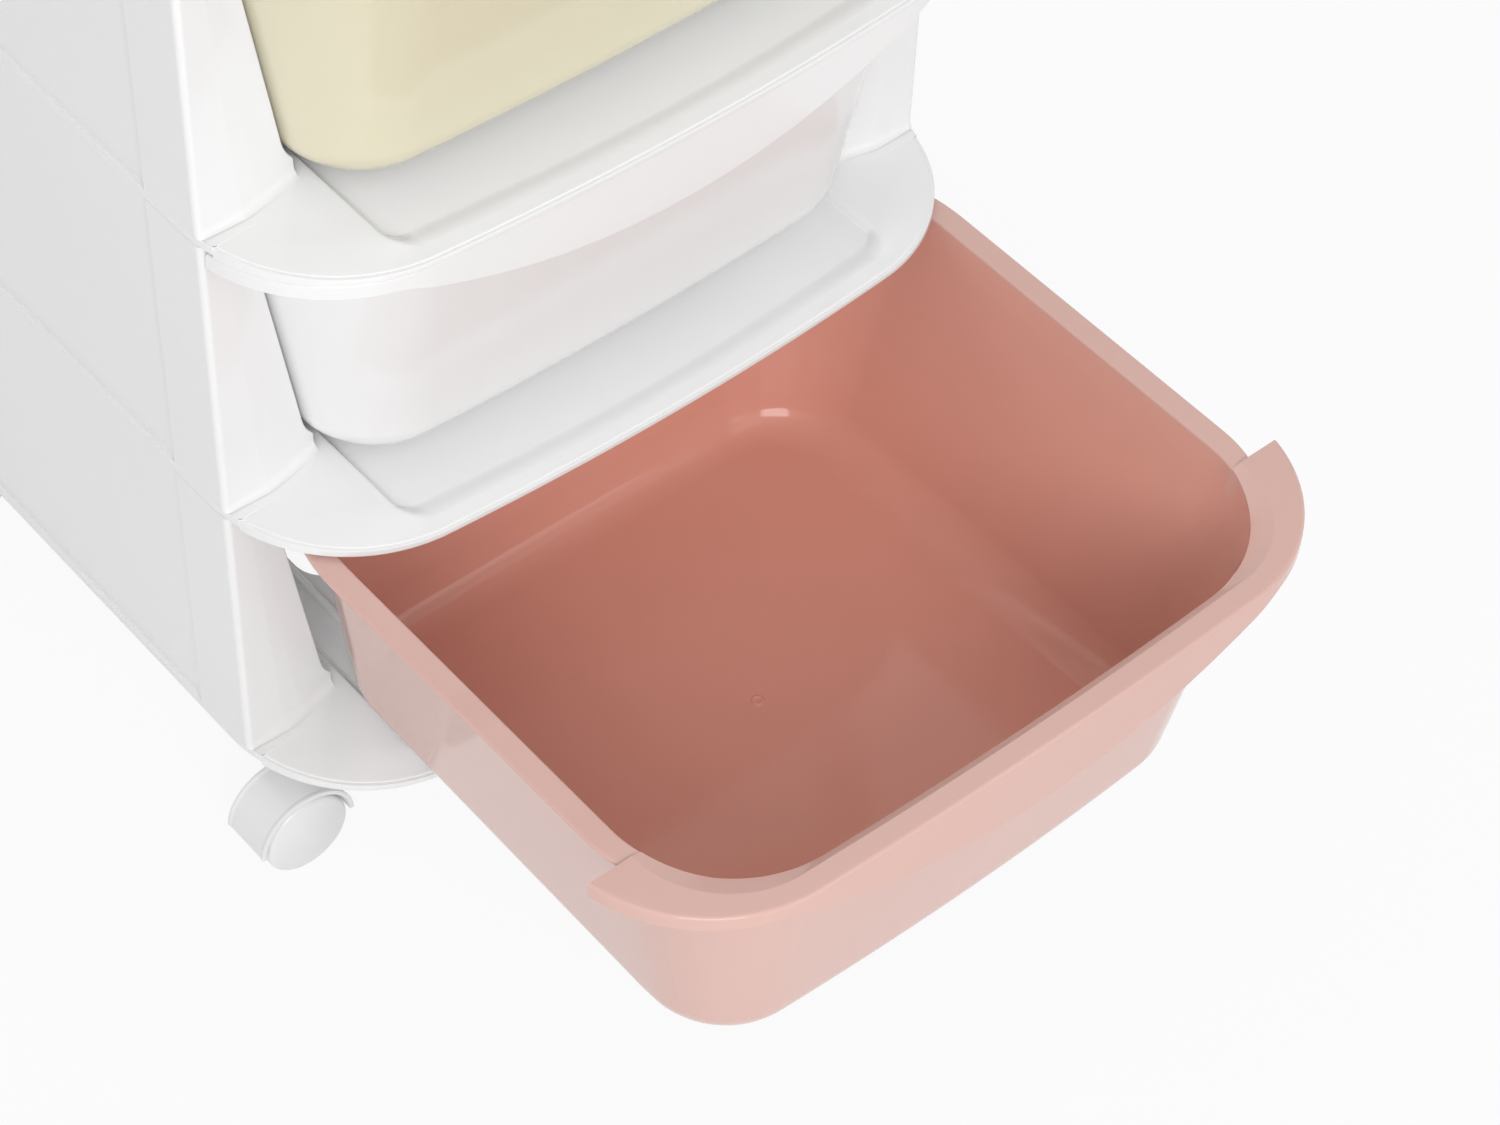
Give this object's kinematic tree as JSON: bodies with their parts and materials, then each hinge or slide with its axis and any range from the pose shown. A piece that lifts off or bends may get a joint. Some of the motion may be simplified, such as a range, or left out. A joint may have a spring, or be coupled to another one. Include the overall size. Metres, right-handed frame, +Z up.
{
  "type": "rolling drawer unit",
  "caption": "Rolling tower of moulded plastic tiers with bowed shelves, side columns, tapered pull-out tubs with apron handles, and hooded casters.",
  "frame": {"origin": "on the floor, under the middle of the unit's box with the lowest drawer pulled out as pictured", "axes": "+Z up, the drawers open towards -Y, +X to the right seen from the front"},
  "size_m": [0.4262, 0.618, 0.567],
  "materials": {
    "frame_white": "moulded gloss",
    "drawer_pink": "moulded gloss",
    "drawer_white": "moulded gloss",
    "drawer_cream": "moulded gloss",
    "caster_white": "moulded satin",
    "wheel_white": "moulded satin",
    "steel": "bright drawn"
  },
  "bodies": {
    "frame": {"base_shelf": "frame_white", "shelf_2": "frame_white", "shelf_3": "frame_white", "top_panel": "frame_white", "side_panel_left_1": "frame_white", "side_panel_right_1": "frame_white", "back_rail_1": "frame_white", "side_panel_left_2": "frame_white", "side_panel_right_2": "frame_white", "back_rail_2": "frame_white", "side_panel_left_3": "frame_white", "side_panel_right_3": "frame_white", "back_rail_3": "frame_white"},
    "drawer_1": {"drawer_1": "drawer_pink"},
    "drawer_2": {"drawer_2": "drawer_white"},
    "drawer_3": {"drawer_3": "drawer_cream"},
    "caster_front_left": {"caster_front_left_hood": "caster_white", "caster_front_left_stem": "steel", "caster_front_left_axle": "steel"},
    "caster_front_left_near": {"caster_front_left_wheel_near": "wheel_white"},
    "caster_front_left_far": {"caster_front_left_wheel_far": "wheel_white"},
    "caster_front_right": {"caster_front_right_hood": "caster_white", "caster_front_right_stem": "steel", "caster_front_right_axle": "steel"},
    "caster_front_right_near": {"caster_front_right_wheel_near": "wheel_white"},
    "caster_front_right_far": {"caster_front_right_wheel_far": "wheel_white"},
    "caster_rear_left": {"caster_rear_left_hood": "caster_white", "caster_rear_left_stem": "steel", "caster_rear_left_axle": "steel"},
    "caster_rear_left_near": {"caster_rear_left_wheel_near": "wheel_white"},
    "caster_rear_left_far": {"caster_rear_left_wheel_far": "wheel_white"},
    "caster_rear_right": {"caster_rear_right_hood": "caster_white", "caster_rear_right_stem": "steel", "caster_rear_right_axle": "steel"},
    "caster_rear_right_near": {"caster_rear_right_wheel_near": "wheel_white"},
    "caster_rear_right_far": {"caster_rear_right_wheel_far": "wheel_white"}
  },
  "joints": [
    {"name": "drawer_1_slide", "type": "slide", "parent": "frame", "child": "drawer_1", "axis": [0, -1, 0], "range_m": [-0.248, 0.01]},
    {"name": "drawer_2_slide", "type": "slide", "parent": "frame", "child": "drawer_2", "axis": [0, -1, 0], "range_m": [0, 0.258]},
    {"name": "drawer_3_slide", "type": "slide", "parent": "frame", "child": "drawer_3", "axis": [0, -1, 0], "range_m": [0, 0.258]},
    {"name": "caster_front_left_swivel", "type": "hinge", "parent": "frame", "child": "caster_front_left", "pos_m": [-0.17, -0.006, 0.06], "axis": [0, 0, 1], "continuous": true},
    {"name": "caster_front_left_near_spin", "type": "hinge", "parent": "caster_front_left", "child": "caster_front_left_near", "pos_m": [-0.187, -0.006, 0.0225], "axis": [0, 1, 0], "continuous": true},
    {"name": "caster_front_left_far_spin", "type": "hinge", "parent": "caster_front_left", "child": "caster_front_left_far", "pos_m": [-0.187, -0.006, 0.0225], "axis": [0, 1, 0], "continuous": true},
    {"name": "caster_front_right_swivel", "type": "hinge", "parent": "frame", "child": "caster_front_right", "pos_m": [0.17, -0.006, 0.06], "axis": [0, 0, 1], "continuous": true},
    {"name": "caster_front_right_near_spin", "type": "hinge", "parent": "caster_front_right", "child": "caster_front_right_near", "pos_m": [0.187, -0.006, 0.0225], "axis": [0, 1, 0], "continuous": true},
    {"name": "caster_front_right_far_spin", "type": "hinge", "parent": "caster_front_right", "child": "caster_front_right_far", "pos_m": [0.187, -0.006, 0.0225], "axis": [0, 1, 0], "continuous": true},
    {"name": "caster_rear_left_swivel", "type": "hinge", "parent": "frame", "child": "caster_rear_left", "pos_m": [-0.17, 0.279, 0.06], "axis": [0, 0, 1], "continuous": true},
    {"name": "caster_rear_left_near_spin", "type": "hinge", "parent": "caster_rear_left", "child": "caster_rear_left_near", "pos_m": [-0.187, 0.279, 0.0225], "axis": [0, 1, 0], "continuous": true},
    {"name": "caster_rear_left_far_spin", "type": "hinge", "parent": "caster_rear_left", "child": "caster_rear_left_far", "pos_m": [-0.187, 0.279, 0.0225], "axis": [0, 1, 0], "continuous": true},
    {"name": "caster_rear_right_swivel", "type": "hinge", "parent": "frame", "child": "caster_rear_right", "pos_m": [0.17, 0.279, 0.06], "axis": [0, 0, 1], "continuous": true},
    {"name": "caster_rear_right_near_spin", "type": "hinge", "parent": "caster_rear_right", "child": "caster_rear_right_near", "pos_m": [0.187, 0.279, 0.0225], "axis": [0, 1, 0], "continuous": true},
    {"name": "caster_rear_right_far_spin", "type": "hinge", "parent": "caster_rear_right", "child": "caster_rear_right_far", "pos_m": [0.187, 0.279, 0.0225], "axis": [0, 1, 0], "continuous": true}
  ]
}
